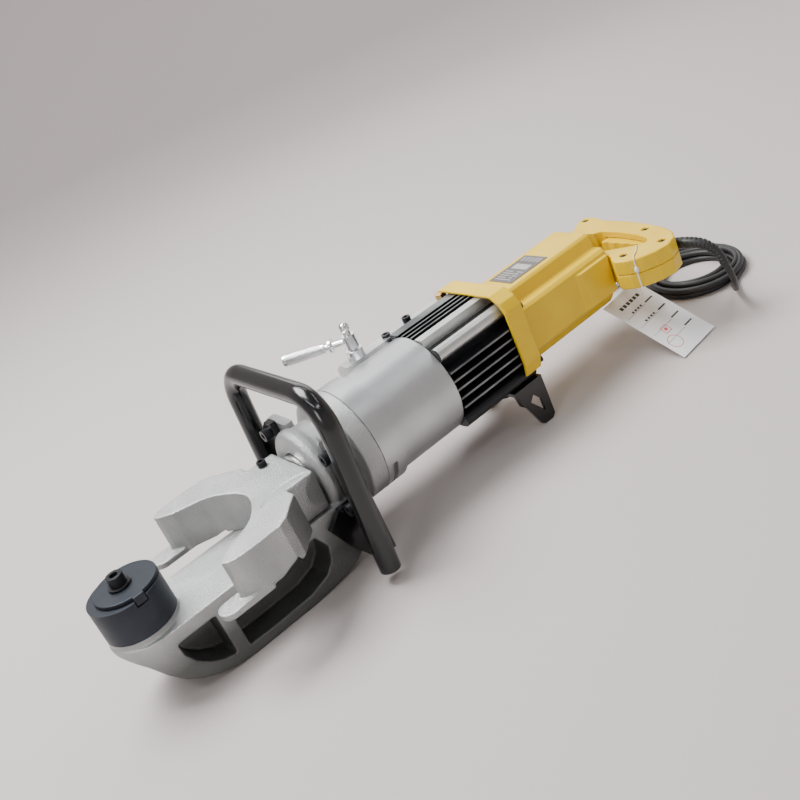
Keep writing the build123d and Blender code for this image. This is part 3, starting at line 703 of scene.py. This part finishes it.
def plate_print():
    """Rows of plain bars on the nameplate."""
    low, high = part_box("nameplate")
    sunk = 0.00003

    def place(u, v, lift):
        return Vector((low.x + u * MM, low.y + v * MM, high.z - sunk + lift * MM))

    boxes = []
    for row in range(4):
        for k in range(5):
            boxes.append((3 + 2.2 * row + 1.0, 5.0 + 2.2 * row, 4 + 6 * k, 8.2 + 6 * k))
    boxes += [(18, 28, 6, 30)]
    for row in range(5):
        boxes.append((33 + 4.2 * row, 34.4 + 4.2 * row, 4, 16 + (row * 5) % 7))
        boxes.append((33 + 4.2 * row, 34.4 + 4.2 * row, 22, 31 - (row * 3) % 5))
    patches("plate_lines", place, PALE_INK, boxes, 0.05)


tag()
tag_print()
tie()
plate_print()

# --- Floor, light and camera ----------------------------------------------------------------------

FLAT_REACH, COVE_RADIUS, WALL_TOP = 3.2, 1.6, 5.0
COVE_STEPS = 12
FLOOR_DROP = 0.0002


def floor():
    """A pale floor that is flat under the object and curves up into a wall far round it."""
    mat, tree, bsdf = shader("studio_floor", (0.47, 0.435, 0.425), 0.8)
    bsdf.inputs["Specular IOR Level"].default_value = 0.1
    profile = [(0.02, 0), (1.5, 0), (FLAT_REACH, 0)]
    for t in range(1, COVE_STEPS + 1):
        turn = t * math.pi / (2 * COVE_STEPS)
        out, up = COVE_RADIUS * math.sin(turn), COVE_RADIUS * math.cos(turn)
        profile.append((FLAT_REACH + out, COVE_RADIUS - up))
    profile.append((FLAT_REACH + COVE_RADIUS, WALL_TOP))
    points, faces, sides = [], [], 96
    for r, z in profile:
        for k in range(sides):
            t = 2 * math.pi * k / sides
            points.append(Vector((r * math.cos(t), r * math.sin(t), z - FLOOR_DROP)))
    for i in range(len(profile) - 1):
        for k in range(sides):
            n = (k + 1) % sides
            faces.append((i * sides + k, (i + 1) * sides + k, (i + 1) * sides + n, i * sides + n))
    faces.append(tuple(range(sides)))
    solid("studio_floor", points, faces, mat)


def area(name, place, target, size, power):
    """A white panel of light at place, turned to the target."""
    data = bpy.data.lights.new(name, "AREA")
    data.shape, data.size, data.size_y, data.energy = "RECTANGLE", size[0], size[1], power
    lamp = bpy.data.objects.new(name, data)
    lamp.location = place
    lamp.rotation_mode = "QUATERNION"
    lamp.rotation_quaternion = (Vector(target) - Vector(place)).to_track_quat("-Z", "Y")
    bpy.context.scene.collection.objects.link(lamp)


def sky():
    world = bpy.data.worlds.new("studio_sky")
    world.use_nodes = True
    background = world.node_tree.nodes["Background"]
    background.inputs["Color"].default_value = (0.95, 0.97, 1.0, 1)
    background.inputs["Strength"].default_value = 0.17
    bpy.context.scene.world = world


CAMERA_PLACE = Vector((0.43073, 0.85223, 0.55874))
CAMERA_AIM = Vector((0.00249, 0, 0.10521))
CAMERA_ROLL = math.radians(24.482)


def camera():
    """The fitted view, rolled so that the tool runs across the picture from corner to corner."""
    data = bpy.data.cameras.new("camera")
    data.lens, data.sensor_width = 47.69, 36
    data.clip_start, data.clip_end = 0.02, 50
    cam = bpy.data.objects.new("camera", data)
    ahead = (CAMERA_AIM - CAMERA_PLACE).normalized()
    side = ahead.cross(Vector((0, 0, 1))).normalized()
    up = side.cross(ahead)
    turned_up = up * math.cos(CAMERA_ROLL) + side * math.sin(CAMERA_ROLL)
    turned_side = side * math.cos(CAMERA_ROLL) - up * math.sin(CAMERA_ROLL)
    facing = Matrix((turned_side, turned_up, -ahead)).transposed().to_4x4()
    cam.matrix_world = Matrix.Translation(CAMERA_PLACE) @ facing
    bpy.context.scene.collection.objects.link(cam)
    bpy.context.scene.camera = cam


def wall_washes():
    """Panels in a ring round the object that light the wall evenly on every side."""
    count, near, far = 5, 2.0, 4.3
    for i in range(count):
        turn = math.radians(-52 + 360 / count * i)
        area("wall_wash", (near * math.cos(turn), near * math.sin(turn), 2.9),
             (far * math.cos(turn), far * math.sin(turn), 0.6), (1.8, 1.2), 75)


floor()
area("key_above", (0.35, -0.55, 1.6), (0, 0, 0.05), (1.1, 0.9), 66)
wall_washes()
area("front_soft", (1.6, 0.9, 1.0), (0.1, 0, 0.05), (0.5, 0.7), 7)
area("rear_soft", (-1.0, -1.2, 1.0), (0, 0, 0.05), (1.2, 0.9), 7)
sky()
camera()
write_size()
